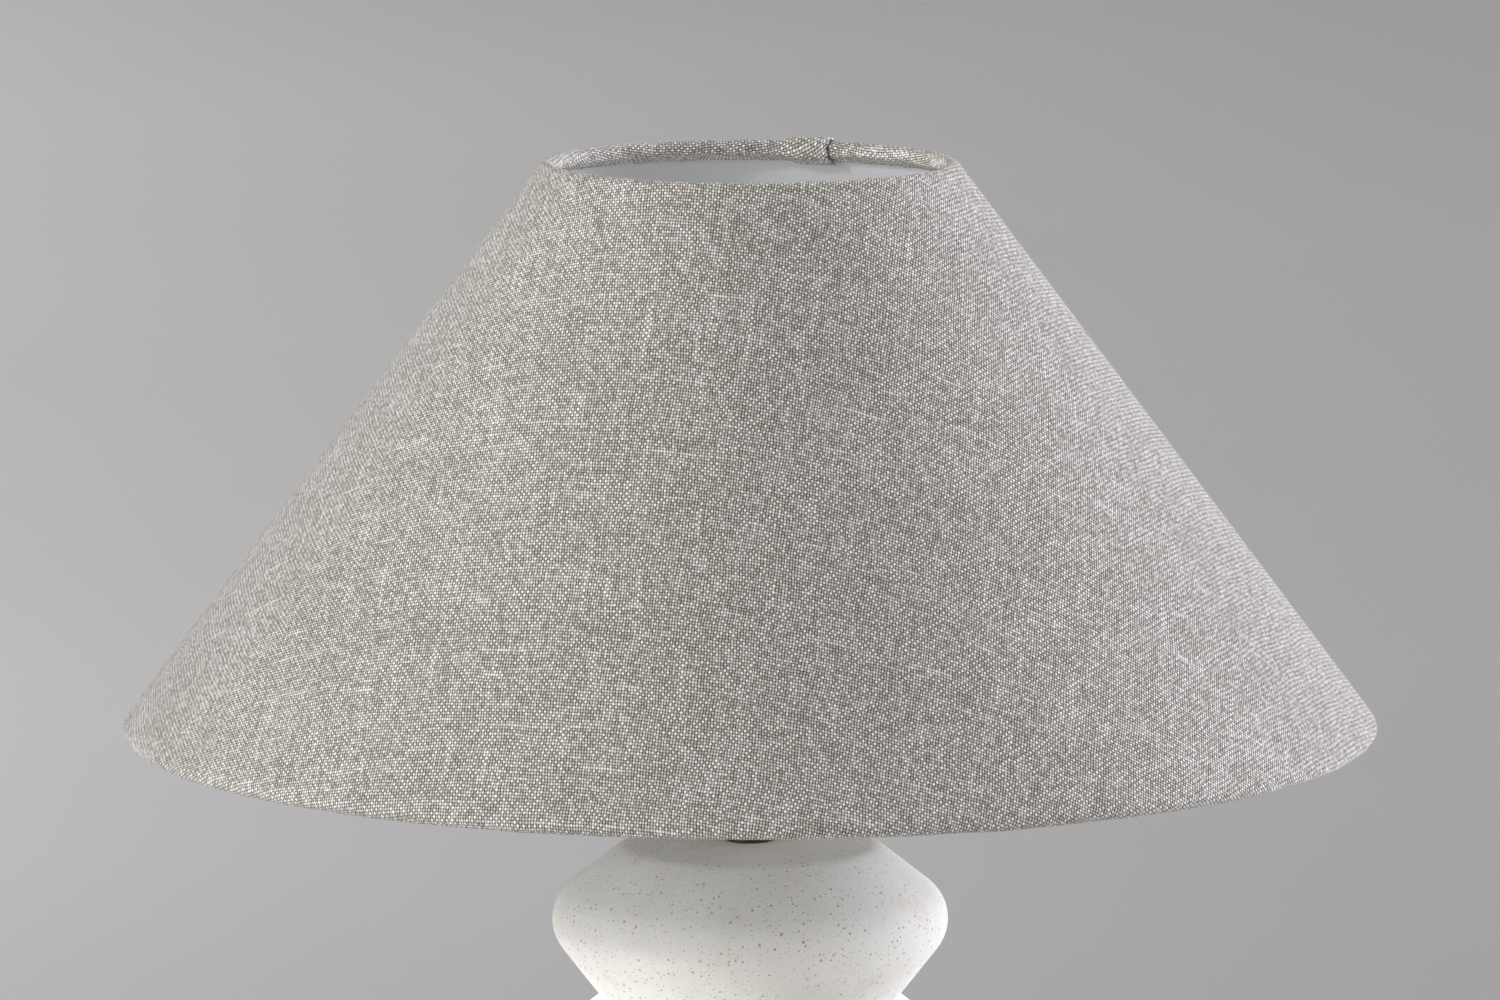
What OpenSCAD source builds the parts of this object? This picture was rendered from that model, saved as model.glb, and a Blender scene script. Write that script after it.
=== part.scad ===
// Table lamp with a cone shade: stepped ceramic base, switched brass lampholder,
// bulb, and a linen shade carried on a bottom-ring frame. Units mm, +Z up,
// origin at the centre of the face that rests on the table, front towards -Y.

/* [Base] */
// Thickness of the felt disc under the foot
felt_t = 2; // [1:0.5:4]
// Outer radius of the felt disc
felt_r = 69; // [60:1:71]
// Height of the straight foot
foot_h = 16; // [12:1:24]
// Radius of the foot
foot_r = 71; // [60:1:85]
// Radius of the recess under the foot
recess_r = 63.3; // [55:0.1:66]
// Heights of the four tiers, lowest first
tier_h = [75, 69, 63, 55.4];
// Radii of the grooves above each tier, lowest first, ending in the flat top
crease_r = [65.5, 59.5, 53.5, 46.5];
// Rounding radii of the tiers, lowest first
tier_round = [18, 17, 16, 15.4];
// Slope of each tier's upper side, degrees from vertical
shoulder_a = 51.5; // [40:0.5:60]
// Slope of each tier's lower side, degrees from vertical
belly_a = 37.8; // [30:0.1:45]
// Rise of the top face from its edge to the neck
top_rise = 1.5; // [0:0.1:4]
// Wall of the ceramic, measured level
wall = 10; // [6:0.5:14]

/* [Fixings] */
// Outer radius of the threaded tube
tube_r = 5; // [4:0.5:6]
// Bore radius of the threaded tube
tube_bore_r = 3.5; // [2.5:0.1:4]
// Thickness of the steel base plate
plate_t = 2; // [1:0.5:4]
// Radius of the steel base plate
plate_r = 63; // [50:1:66]
// Radius of the cord hole in the foot
cord_hole_r = 5.5; // [4:0.1:6]
// Bore radius of the cord grommet
grommet_bore_r = 4; // [3:0.1:5]
// Radius of the neck collar
collar_r = 9; // [8:0.5:14]
// Height of the neck collar
collar_h = 8; // [5:0.5:15]

/* [Lampholder] */
// Radius of the lampholder cap
cap_r = 20; // [18:0.5:22]
// Wall of the lampholder cap
cap_t = 1.2; // [0.8:0.1:2]
// Outer radius of the threaded skirt
skirt_r = 19.5; // [18:0.1:20]
// Inner radius of the threaded skirt
skirt_bore_r = 16.5; // [16:0.1:17]
// Radius of the push bar of the switch
bar_r = 2.5; // [2:0.1:3.5]
// Length of the push bar
bar_l = 62; // [54:1:70]
// Travel of the push bar
bar_travel = 7; // [4:0.5:9]
// Radius of the two shade rings
ring_r = 27; // [24:0.5:30]

/* [Bulb] */
// Radius of the globe
globe_r = 30; // [22:0.5:32]
// Radius of the screw cap
bulb_cap_r = 13.3; // [13:0.1:13.5]

/* [Shade] */
// Radius of the outer face where the bottom hem starts
shade_bottom_r = 224.5; // [150:0.5:260]
// Radius of the outer face where the top hem starts
shade_top_r = 74.85; // [50:0.05:120]
// Rise of the outer face between the hems
shade_rise = 199.65; // [120:0.05:260]
// Height of the shade's bottom plane above the ceramic's flat top
shade_gap = 44.4; // [30:0.1:70]
// Thickness of the linen
linen_t = 0.6; // [0.3:0.1:1]
// Thickness of the liner
liner_t = 0.8; // [0.3:0.1:1.5]
// Radius of the wire rings
wire_r = 1.8; // [1.2:0.1:2.5]
// Radius of the spider arms
arm_r = 2; // [1.5:0.1:2.5]
// Rise of the fitter ring above the bottom plane
fitter_rise = 12; // [0:1:30]
// Inner radius of the fitter ring
fitter_bore_r = 20.3; // [20:0.1:21]
// Outer radius of the fitter ring
fitter_r = 29; // [28:0.5:31]

/* [Hidden] */
$fn = 96;

gap = 0.3;                 // air between pieces that move apart
foot_top = felt_t + foot_h;
level_1 = foot_top + tier_h[0];
level_2 = level_1 + tier_h[1];
level_3 = level_2 + tier_h[2];
flat_top = level_3 + tier_h[3];
neck_z = flat_top + top_rise;
ceiling_z = flat_top - wall;
seat_r = 13;               // flat seat for the neck collar
ledge_wall = 14;           // wall above the recess, leaving a ledge for the plate
inner_round_cut = 6;       // how much tighter the cavity's rounding is

plate_z = foot_top;
washer_t = 1.5;
washer_z = plate_z - washer_t;
nut_t = 5;
nut_z = washer_z - nut_t;
tube_z = nut_z - 0.5;
cord_z = felt_t + foot_h / 2;
grommet_flange_r = 6.8;
grommet_flange_t = 1.4;

holder_z = neck_z + collar_h;       // underside of the lampholder boss
boss_r = 8.5;
boss_h = 9;
cap_mid_z = holder_z + 21;          // where the cap turns straight
cap_top_z = holder_z + 30.5;
cap_floor_z = holder_z + 10.5;
tube_top_z = cap_floor_z - 1.5;
bar_z = holder_z + 17.5;
bar_fit = 0.05;
insert_z = cap_top_z - 8.5;         // underside of the insert's flange
insert_flange_t = 3.5;
insert_top_z = cap_top_z + 2;
spigot_r = cap_r - cap_t - 0.1;
skirt_top_z = holder_z + 60.5;
shell_r = 14.3;
shell_bore_r = 13.7;
shell_top_z = insert_top_z + 22;

shade_z = flat_top + shade_gap;     // the shade's bottom plane
fitter_z = shade_z + fitter_rise;
fitter_t = 2;
ring_t = 4;
support_z = fitter_z - gap - ring_t;
clamp_z = fitter_z + fitter_t + gap;
clamp_t = 5;

contact_z = insert_top_z + 2.5;     // top of the holder's centre contact
bulb_z = contact_z + gap;
bulb_cap_z = bulb_z + 4;
bulb_collar_z = skirt_top_z + 0.5;
globe_neck_z = bulb_collar_z + 20;
globe_neck_r = 21;
globe_z = globe_neck_z + sqrt(globe_r * globe_r - globe_neck_r * globe_neck_r);
globe_t = 1;

slope_a = atan2(shade_bottom_r - shade_top_r, shade_rise);
slant = norm([shade_bottom_r - shade_top_r, shade_rise]);
wire_in = wire_r + liner_t + linen_t;
edge_z = shade_z + 2.1;             // outer face where the bottom hem starts
wire_bottom = [shade_bottom_r - wire_in * cos(slope_a), edge_z - wire_in * sin(slope_a)];
wire_top = wire_bottom + slant * [-sin(slope_a), cos(slope_a)];

ceramic_c = [0.88, 0.88, 0.86];
brass_c = [0.72, 0.58, 0.32];
bronze_c = [0.34, 0.27, 0.19];
steel_c = [0.66, 0.67, 0.68];
black_c = [0.1, 0.1, 0.11];
white_c = [0.94, 0.94, 0.92];
linen_c = [0.67, 0.64, 0.58];
felt_c = [0.22, 0.22, 0.21];

// One tier's half section: straight sides from r0 at z0 and r1 at z1, rounded out
module tier_2d(r0, r1, z0, z1, rr) {
    ts = tan(shoulder_a);
    tb = tan(belly_a);
    rs = (z1 - z0 + r1 / ts + r0 / tb) / (1 / ts + 1 / tb);
    zs = z0 + (rs - r0) / tb;
    k = rr / sin(shoulder_a + belly_a);
    c = [rs - k * (sin(belly_a) + sin(shoulder_a)), zs + k * (cos(shoulder_a) - cos(belly_a))];
    low = c + rr * [cos(belly_a), -sin(belly_a)];
    high = c + rr * [cos(shoulder_a), sin(shoulder_a)];
    polygon([[0, z0], [r0, z0], low, c, high, [r1, z1], [0, z1]]);
    translate(c) circle(r = rr);
}

module body_2d() {
    translate([0, felt_t]) square([foot_r, foot_h]);
    tier_2d(foot_r, crease_r[0], foot_top, level_1, tier_round[0]);
    tier_2d(crease_r[0], crease_r[1], level_1, level_2, tier_round[1]);
    tier_2d(crease_r[1], crease_r[2], level_2, level_3, tier_round[2]);
    tier_2d(crease_r[2], crease_r[3], level_3, flat_top, tier_round[3]);
    polygon([[0, flat_top - 1], [crease_r[3], flat_top], [seat_r, neck_z], [0, neck_z]]);
}

module cavity_2d() {
    cut = inner_round_cut;
    r = [for (c = crease_r) c - wall];
    intersection() {
        union() {
            tier_2d(foot_r - ledge_wall, r[0], foot_top, level_1, tier_round[0] - cut);
            tier_2d(r[0], r[1], level_1, level_2, tier_round[1] - cut);
            tier_2d(r[1], r[2], level_2, level_3, tier_round[2] - cut);
            tier_2d(r[2], r[3], level_3, flat_top, tier_round[3] - cut);
        }
        square([foot_r * 2, ceiling_z]);
    }
}

module ceramic_body() {
    color(ceramic_c)
    difference() {
        rotate_extrude() difference() {
            body_2d();
            cavity_2d();
            square([recess_r, plate_z + plate_t]);
            square([tube_r + 0.5, neck_z + 1]);
        }
        translate([0, recess_r - 3, cord_z]) rotate([-90, 0, 0])
            cylinder(r = cord_hole_r, h = foot_r);
    }
}

module felt_pad() {
    color(felt_c) cylinder(r = felt_r, h = felt_t);
}

module base_plate() {
    color(steel_c)
    translate([0, 0, plate_z]) difference() {
        cylinder(r = plate_r, h = plate_t);
        translate([0, 0, -1]) cylinder(r = tube_r, h = plate_t + 2);
    }
}

module bottom_washer() {
    color(steel_c)
    translate([0, 0, washer_z]) difference() {
        cylinder(r = 12, h = washer_t);
        translate([0, 0, -1]) cylinder(r = tube_r, h = washer_t + 2);
    }
}

module bottom_nut() {
    color(steel_c)
    translate([0, 0, nut_z]) difference() {
        cylinder(r = 9.5, h = nut_t, $fn = 6);
        translate([0, 0, -1]) cylinder(r = tube_r, h = nut_t + 2);
    }
}

module threaded_tube() {
    color(steel_c)
    translate([0, 0, tube_z]) difference() {
        cylinder(r = tube_r, h = tube_top_z - tube_z);
        translate([0, 0, -1]) cylinder(r = tube_bore_r, h = tube_top_z - tube_z + 2);
    }
}

module cord_grommet() {
    inside_y = recess_r - grommet_flange_t - 0.4;
    outside_y = foot_r + 0.05;
    color(black_c)
    translate([0, 0, cord_z]) rotate([-90, 0, 0]) difference() {
        union() {
            translate([0, 0, inside_y]) cylinder(r = cord_hole_r, h = outside_y - inside_y);
            translate([0, 0, inside_y]) cylinder(r = grommet_flange_r, h = grommet_flange_t);
            translate([0, 0, outside_y]) cylinder(r = grommet_flange_r, h = grommet_flange_t);
        }
        translate([0, 0, inside_y - 1]) cylinder(r = grommet_bore_r, h = 20);
    }
}

module neck_collar() {
    waist = 1;
    band = 2;
    color(bronze_c)
    rotate_extrude() difference() {
        translate([tube_r, neck_z]) square([collar_r - tube_r, collar_h]);
        translate([collar_r - waist, neck_z + band]) square([waist * 2, collar_h - 2 * band]);
    }
}

module cap_shape_2d(t) {
    polygon([[0, holder_z + boss_h - 2], [boss_r - t, holder_z + boss_h],
        [cap_r - t - 5, cap_mid_z - 7.5], [cap_r - t - 1.4, cap_mid_z - 4.2],
        [cap_r - t, cap_mid_z], [cap_r - t, cap_top_z], [0, cap_top_z]]);
}

module lampholder_cap() {
    color(brass_c)
    difference() {
        rotate_extrude() difference() {
            union() {
                translate([0, holder_z]) square([boss_r, boss_h]);
                cap_shape_2d(0);
            }
            square([tube_r, cap_top_z + 1]);
            intersection() {
                cap_shape_2d(cap_t);
                translate([0, cap_floor_z]) square([cap_r, cap_top_z]);
            }
            translate([0, cap_top_z - 1]) square([cap_r - cap_t, 2]);
        }
        translate([-cap_r - 1, 0, bar_z]) rotate([0, 90, 0])
            cylinder(r = bar_r + bar_fit, h = 2 * cap_r + 2);
        translate([0, tube_r - 1, holder_z + 4.5]) rotate([-90, 0, 0])
            cylinder(r = 1.5, h = boss_r);
    }
}

module grub_screw() {
    color(steel_c)
    difference() {
        translate([0, tube_r, holder_z + 4.5]) rotate([-90, 0, 0])
            cylinder(r = 1.5, h = boss_r - tube_r);
        translate([-2, boss_r - 0.8, holder_z + 4.2]) cube([4, 2, 0.6]);
    }
}

module push_bar() {
    x0 = -(bar_l + bar_travel) / 2;
    tip = 1;
    color(black_c)
    translate([x0, 0, bar_z]) rotate([0, 90, 0]) {
        cylinder(r1 = bar_r - tip, r2 = bar_r, h = tip);
        translate([0, 0, tip]) cylinder(r = bar_r, h = bar_l - 2 * tip);
        translate([0, 0, bar_l - tip]) cylinder(r1 = bar_r, r2 = bar_r - tip, h = tip);
    }
}

module lampholder_insert() {
    color(white_c)
    difference() {
        union() {
            translate([0, 0, insert_z]) cylinder(r = spigot_r, h = insert_flange_t);
            translate([0, 0, insert_z]) cylinder(r = skirt_bore_r, h = insert_top_z - insert_z);
        }
        for (s = [-1, 1])
            translate([9 * s, 0, insert_z - 1]) cylinder(r = 1.6, h = insert_top_z);
    }
}

module terminal_screws() {
    color(brass_c)
    for (s = [-1, 1]) translate([0, 11 * s, insert_z - 1.8]) difference() {
        cylinder(r = 2.5, h = 1.8);
        translate([-3, -0.35, -1]) cube([6, 0.7, 1.7]);
    }
}

module centre_contact() {
    color(brass_c)
    translate([0, 0, insert_top_z]) {
        cylinder(r = 4.5, h = contact_z - insert_top_z - 1);
        cylinder(r = 2.5, h = contact_z - insert_top_z);
    }
}

module screw_shell() {
    color(brass_c)
    translate([0, 0, insert_top_z]) difference() {
        cylinder(r = shell_r, h = shell_top_z - insert_top_z);
        translate([0, 0, 1]) cylinder(r = shell_bore_r, h = shell_top_z);
        translate([0, 0, -1]) cylinder(r = 10, h = 3);
    }
}

// The skirt: smooth over the cap, with rolled rings standing for its shade thread
module lampholder_skirt() {
    thread_z = support_z - 1;
    groove_d = 0.35;
    pitch = 2.5;
    color(brass_c)
    rotate_extrude() difference() {
        union() {
            translate([0, cap_top_z]) square([skirt_r, skirt_top_z - cap_top_z]);
            translate([0, insert_z + insert_flange_t])
                square([spigot_r, cap_top_z - insert_z - insert_flange_t]);
        }
        translate([0, insert_z]) square([skirt_bore_r, skirt_top_z]);
        for (z = [clamp_z + clamp_t + 1 : pitch : skirt_top_z - 1])
            translate([skirt_r - groove_d, z]) square([1, pitch / 2]);
        for (z = [cap_top_z + 2 : pitch : thread_z - 1])
            translate([skirt_r - groove_d, z]) square([1, pitch / 2]);
    }
}

module shade_ring(bore, h) {
    notch_r = 1.4;
    notches = 24;
    difference() {
        cylinder(r = ring_r, h = h);
        translate([0, 0, -1]) cylinder(r = bore, h = h + 2);
        for (i = [0 : notches - 1]) rotate([0, 0, i * 360 / notches])
            translate([ring_r + 0.5, 0, -1]) cylinder(r = notch_r, h = h + 2, $fn = 24);
    }
}

module support_ring() {
    color(bronze_c) translate([0, 0, support_z]) shade_ring(skirt_r, ring_t);
}

module clamp_ring() {
    color(bronze_c) translate([0, 0, clamp_z]) shade_ring(skirt_r + gap, clamp_t);
}

module bulb_contact() {
    color(steel_c) translate([0, 0, bulb_z]) cylinder(r1 = 3, r2 = 4.5, h = 1.2);
}

module bulb_insulator() {
    color(black_c)
    translate([0, 0, bulb_z + 1.2]) cylinder(r1 = 5, r2 = 9, h = bulb_cap_z - bulb_z - 1.2);
}

// The bulb's cap, with rolled rings standing for its thread
module bulb_cap() {
    groove_d = 0.6;
    pitch = 3.6;
    color(steel_c)
    rotate_extrude() difference() {
        polygon([[0, bulb_cap_z], [9, bulb_cap_z], [bulb_cap_r, bulb_cap_z + 3],
            [bulb_cap_r, bulb_collar_z], [0, bulb_collar_z]]);
        for (z = [bulb_cap_z + 5 : pitch : bulb_collar_z - 3])
            translate([bulb_cap_r - groove_d, z]) square([1, pitch / 2]);
    }
}

module bulb_collar() {
    color(white_c)
    translate([0, 0, bulb_collar_z]) {
        cylinder(r = 14, h = 3);
        translate([0, 0, 3]) cylinder(r1 = 14, r2 = globe_neck_r, h = 17);
    }
}

module bulb_globe() {
    color(white_c)
    rotate_extrude() intersection() {
        difference() {
            translate([0, globe_z]) circle(r = globe_r);
            translate([0, globe_z]) circle(r = globe_r - globe_t);
        }
        translate([0, globe_neck_z]) square([globe_r + 1, 2 * globe_r]);
    }
}

module fitter_ring() {
    color(white_c)
    translate([0, 0, fitter_z]) difference() {
        cylinder(r = fitter_r, h = fitter_t);
        translate([0, 0, -1]) cylinder(r = fitter_bore_r, h = fitter_t + 2);
    }
}

module arm_rods(r) {
    near = [fitter_r - 0.5, fitter_z + fitter_t / 2];
    run = norm(wire_bottom - near);
    tilt = atan2(near[1] - wire_bottom[1], wire_bottom[0] - near[0]);
    for (i = [0 : 2]) rotate([0, 0, 30 + 120 * i])
        translate([near[0], 0, near[1]]) rotate([0, 90 + tilt, 0]) cylinder(r = r, h = run);
}

// Three arms from the bottom wire ring up to the fitter ring
module spider_arms() {
    color(white_c)
    difference() {
        arm_rods(arm_r);
        translate([0, 0, fitter_z - 5]) cylinder(r = fitter_r, h = fitter_t + 10);
        rotate_extrude() translate(wire_bottom) circle(r = wire_r);
        translate([0, 0, shade_z - 10]) difference() {
            cylinder(r = shade_bottom_r, h = 20);
            translate([0, 0, -1]) cylinder(r = wire_bottom[0] - wire_r / 2, h = 22);
        }
    }
}

module bottom_wire_ring() {
    color(white_c) rotate_extrude() translate(wire_bottom) circle(r = wire_r);
}

module top_wire_ring() {
    color(white_c) rotate_extrude() translate(wire_top) circle(r = wire_r);
}

module shade_liner() {
    color(white_c)
    rotate_extrude() translate(wire_bottom) rotate(slope_a)
        translate([wire_r, 0]) square([liner_t, slant]);
}

module shade_cover() {
    color(linen_c)
    rotate_extrude() translate(wire_bottom) rotate(slope_a)
        translate([wire_r + liner_t, 0]) square([linen_t, slant]);
}

function arc(c, r, a0, a1, n) =
    [for (i = [0 : n]) c + r * [cos(a0 + (a1 - a0) * i / n), sin(a0 + (a1 - a0) * i / n)]];

// Section of a rolled hem: linen wrapped round a wire at the origin, x pointing
// out of the shade, y up the slope, with its end turned in against the liner
module hem_2d() {
    wrap_a = 30;
    step = 15;
    tuck = wire_r / tan(wrap_a / 2);
    d = [sin(wrap_a), cos(wrap_a)];
    m = [-cos(wrap_a), sin(wrap_a)];
    end_in = wire_r * m + tuck * d;
    polygon(concat(
        arc([linen_t / 2, 0], wire_r + liner_t + linen_t / 2, 0, -180, 12),
        arc([0, 0], wire_r + liner_t, -195, -180 - wrap_a, 1),
        [end_in + liner_t * m, end_in],
        arc([0, 0], wire_r / cos(step / 2), -180 - wrap_a, 0, (180 + wrap_a) / step)));
}

module bottom_hem() {
    color(linen_c)
    difference() {
        rotate_extrude() translate(wire_bottom) rotate(slope_a) hem_2d();
        arm_rods(arm_r + gap);
    }
}

module top_hem() {
    color(linen_c)
    rotate_extrude() translate(wire_top) rotate(slope_a) mirror([0, 1]) hem_2d();
}

felt_pad();
ceramic_body();
base_plate();
cord_grommet();
bottom_washer();
bottom_nut();
threaded_tube();
neck_collar();
lampholder_cap();
grub_screw();
push_bar();
lampholder_insert();
terminal_screws();
centre_contact();
screw_shell();
lampholder_skirt();
support_ring();
clamp_ring();
bulb_contact();
bulb_insulator();
bulb_cap();
bulb_collar();
bulb_globe();
fitter_ring();
spider_arms();
bottom_wire_ring();
top_wire_ring();
shade_liner();
shade_cover();
bottom_hem();
top_hem();
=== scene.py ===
"""Table lamp with a stepped ceramic base and a cone shade, finished round its frame."""

import math
import random

import bmesh
import bpy
import numpy as np
from mathutils import Matrix, Vector


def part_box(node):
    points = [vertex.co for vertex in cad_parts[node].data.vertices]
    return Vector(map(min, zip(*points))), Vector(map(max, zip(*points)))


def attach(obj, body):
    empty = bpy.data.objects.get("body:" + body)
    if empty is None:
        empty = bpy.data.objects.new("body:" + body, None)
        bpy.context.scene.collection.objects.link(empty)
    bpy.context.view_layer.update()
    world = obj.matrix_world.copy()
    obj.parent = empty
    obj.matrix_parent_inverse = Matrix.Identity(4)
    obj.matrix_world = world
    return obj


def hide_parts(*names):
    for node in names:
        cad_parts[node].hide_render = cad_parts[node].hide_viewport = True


bl_info = {
    "name": "Cone Shade Table Lamp",
    "version": (1, 0, 0),
    "blender": (4, 5, 0),
    "location": "3D View > Sidebar > Lamp",
    "description": "Finishes a table lamp with a ceramic base and a linen shade",
    "category": "Object",
}

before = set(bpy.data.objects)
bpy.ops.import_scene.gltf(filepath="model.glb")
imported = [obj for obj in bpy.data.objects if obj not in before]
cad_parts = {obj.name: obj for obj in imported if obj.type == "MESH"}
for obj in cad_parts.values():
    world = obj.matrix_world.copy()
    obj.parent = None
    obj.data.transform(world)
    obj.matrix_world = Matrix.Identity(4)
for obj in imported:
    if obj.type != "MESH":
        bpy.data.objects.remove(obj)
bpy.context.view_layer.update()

MM = 0.001
CUT_MAP = "cut"  # UV map of the linen: millimetres on the flat, uncut cloth
LINEN_COLUMNS = 421  # points round the shade
LINEN_ROWS = 40  # spans up the side, between the hems
HEM_REACH = 5 * MM  # how far a hem's ripple runs into the side
SEAM_FADE = 9 * MM  # length over which the upper layer settles past the lap
LAP_GAP = 0.15 * MM  # air between the two layers of the lap
HEM_BULK = 0.6 * MM  # extra lift of the lap at the hems
FOOT_RADIUS = 71 * MM
CORD_HOLE = 5.5 * MM
SKIRT_BORE = 16.5 * MM
ON_AXIS = 0.1 * MM  # radius of a turned piece where it meets the axis
COLLAR_FOOT = 14 * MM  # radius of the bulb's collar at its cap
GLASS = 1 * MM  # thickness of the bulb's globe
POLE = 0.004  # angle left open at the globe's top, in radians
FLOOR_HALF = 40.0  # half the width of the floor


def centre_of_wire(node):
    """Ring radius, height and wire radius of a wire ring, from its box."""
    low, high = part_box(node)
    wire = (high.z - low.z) / 2
    return high.x - wire, (low.z + high.z) / 2, wire


LOW_RING = centre_of_wire("bottom_wire_ring")
HIGH_RING = centre_of_wire("top_wire_ring")
SLANT_ANGLE = math.atan2(LOW_RING[0] - HIGH_RING[0], HIGH_RING[1] - LOW_RING[1])
SLANT = math.hypot(LOW_RING[0] - HIGH_RING[0], HIGH_RING[1] - LOW_RING[1])


# ---------------------------------------------------------------- properties


class LampBase(bpy.types.PropertyGroup):
    """Sizes of the ceramic base."""

    foot: bpy.props.FloatProperty(
        name="Foot", description="Height of the straight foot",
        default=0.016, min=0.01, max=0.03, unit="LENGTH")
    tiers: bpy.props.FloatVectorProperty(
        name="Tiers", description="Heights of the four tiers, lowest first",
        size=4, default=(0.075, 0.069, 0.063, 0.0554), unit="LENGTH")
    grooves: bpy.props.FloatVectorProperty(
        name="Grooves", description="Radii above each tier, lowest first",
        size=4, default=(0.0655, 0.0595, 0.0535, 0.0465), unit="LENGTH")
    rounding: bpy.props.FloatVectorProperty(
        name="Rounding", description="Rounding radius of each tier, lowest first",
        size=4, default=(0.018, 0.017, 0.016, 0.0154), unit="LENGTH")
    shoulder: bpy.props.FloatProperty(
        name="Shoulder", description="Slope of a tier's upper side from vertical",
        default=math.radians(51.5), subtype="ANGLE")
    belly: bpy.props.FloatProperty(
        name="Belly", description="Slope of a tier's lower side from vertical",
        default=math.radians(37.8), subtype="ANGLE")
    unevenness: bpy.props.FloatProperty(
        name="Unevenness", description="How far the hand finish strays from true",
        default=0.0007, min=0.0, max=0.003, unit="LENGTH")


class LampShade(bpy.types.PropertyGroup):
    """Sizes of the linen shade."""

    linen: bpy.props.FloatProperty(
        name="Linen", description="Thickness of the linen",
        default=0.0006, min=0.0003, max=0.001, unit="LENGTH")
    liner: bpy.props.FloatProperty(
        name="Liner", description="Thickness of the stiff liner",
        default=0.0008, min=0.0003, max=0.0015, unit="LENGTH")
    warp_pitch: bpy.props.FloatProperty(
        name="Warp Pitch", description="Distance between upright yarns",
        default=0.00098, min=0.0004, max=0.003, unit="LENGTH")
    weft_pitch: bpy.props.FloatProperty(
        name="Weft Pitch", description="Distance between level yarns",
        default=0.00117, min=0.0004, max=0.003, unit="LENGTH")
    grain: bpy.props.FloatProperty(
        name="Grain", description="Where round the shade the weft runs level",
        default=math.radians(-19), subtype="ANGLE")
    skew: bpy.props.FloatProperty(
        name="Skew", description="How far the warp leans off square to the weft",
        default=math.radians(5.4), subtype="ANGLE")
    seam: bpy.props.FloatProperty(
        name="Seam", description="Where round the shade the linen overlaps itself",
        default=math.radians(156), subtype="ANGLE")
    overlap: bpy.props.FloatProperty(
        name="Overlap", description="Width of the overlap at the seam",
        default=0.012, min=0.004, max=0.03, unit="LENGTH")
    ripple: bpy.props.FloatProperty(
        name="Ripple", description="How far the rolled hems wander",
        default=0.00016, min=0.0, max=0.002, unit="LENGTH")


class LampColours(bpy.types.PropertyGroup):
    """Colours of the finishes."""

    yarn_light: bpy.props.FloatVectorProperty(
        name="Light Yarn", description="Palest yarn of the linen",
        size=3, default=(0.93, 0.905, 0.86), min=0, max=1, subtype="COLOR")
    yarn_dark: bpy.props.FloatVectorProperty(
        name="Dark Yarn", description="Darkest yarn of the linen",
        size=3, default=(0.40, 0.37, 0.32), min=0, max=1, subtype="COLOR")
    # painted shade: the near-black colour the yarns fade to in the gaps between them
    yarn_gap_shade: bpy.props.FloatVectorProperty(
        name="Gap", description="Colour between the yarns",
        size=3, default=(0.022, 0.018, 0.014), min=0, max=1, subtype="COLOR")
    liner: bpy.props.FloatVectorProperty(
        name="Liner", description="The white liner",
        size=3, default=(0.57, 0.58, 0.59), min=0, max=1, subtype="COLOR")
    glaze: bpy.props.FloatVectorProperty(
        name="Glaze", description="Ground colour of the ceramic",
        size=3, default=(0.790, 0.780, 0.740), min=0, max=1, subtype="COLOR")
    speck: bpy.props.FloatVectorProperty(
        name="Speck", description="Specks in the ceramic",
        size=3, default=(0.36, 0.30, 0.23), min=0, max=1, subtype="COLOR")
    bronze: bpy.props.FloatVectorProperty(
        name="Bronze", description="Aged brass of the neck and shade rings",
        size=3, default=(0.13, 0.08, 0.042), min=0, max=1, subtype="COLOR")
    brass: bpy.props.FloatVectorProperty(
        name="Brass", description="Bare brass of the lampholder",
        size=3, default=(0.78, 0.58, 0.30), min=0, max=1, subtype="COLOR")
    floor: bpy.props.FloatVectorProperty(
        name="Floor", description="The plain floor",
        size=3, default=(0.266, 0.260, 0.256), min=0, max=1, subtype="COLOR")


# --------------------------------------------------------------- node trees


class Value:
    """An output in a node tree; arithmetic on it adds Math nodes."""

    def __init__(self, net, socket):
        self.net = net
        self.socket = socket

    def __add__(self, other):
        return self.net.math("ADD", self, other)

    __radd__ = __add__

    def __sub__(self, other):
        return self.net.math("SUBTRACT", self, other)

    def __rsub__(self, other):
        return self.net.math("SUBTRACT", other, self)

    def __mul__(self, other):
        return self.net.math("MULTIPLY", self, other)

    __rmul__ = __mul__

    def __truediv__(self, other):
        return self.net.math("DIVIDE", self, other)

    def __rtruediv__(self, other):
        return self.net.math("DIVIDE", other, self)

    def __gt__(self, other):
        return self.net.math("GREATER_THAN", self, other)

    def floor(self):
        return self.net.math("FLOOR", self)

    def cycle(self):
        return self.net.math("FRACT", self)

    def root(self):
        return self.net.math("SQRT", self)

    def cosine(self):
        return self.net.math("COSINE", self)

    def sine(self):
        return self.net.math("SINE", self)

    def at_least(self, other):
        return self.net.math("MAXIMUM", self, other)

    def at_most(self, other):
        return self.net.math("MINIMUM", self, other)

    def ease(self, low, high):
        """0 below low, 1 above high, smooth between."""
        return self.net.add(
            "ShaderNodeMapRange", {"interpolation_type": "SMOOTHSTEP"},
            {"Value": self, "From Min": low, "From Max": high})["Result"]


class Outputs:
    """The outputs of one node, as values."""

    def __init__(self, net, node):
        self.net = net
        self.node = node

    def __getitem__(self, key):
        return Value(self.net, self.node.outputs[key])


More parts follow.
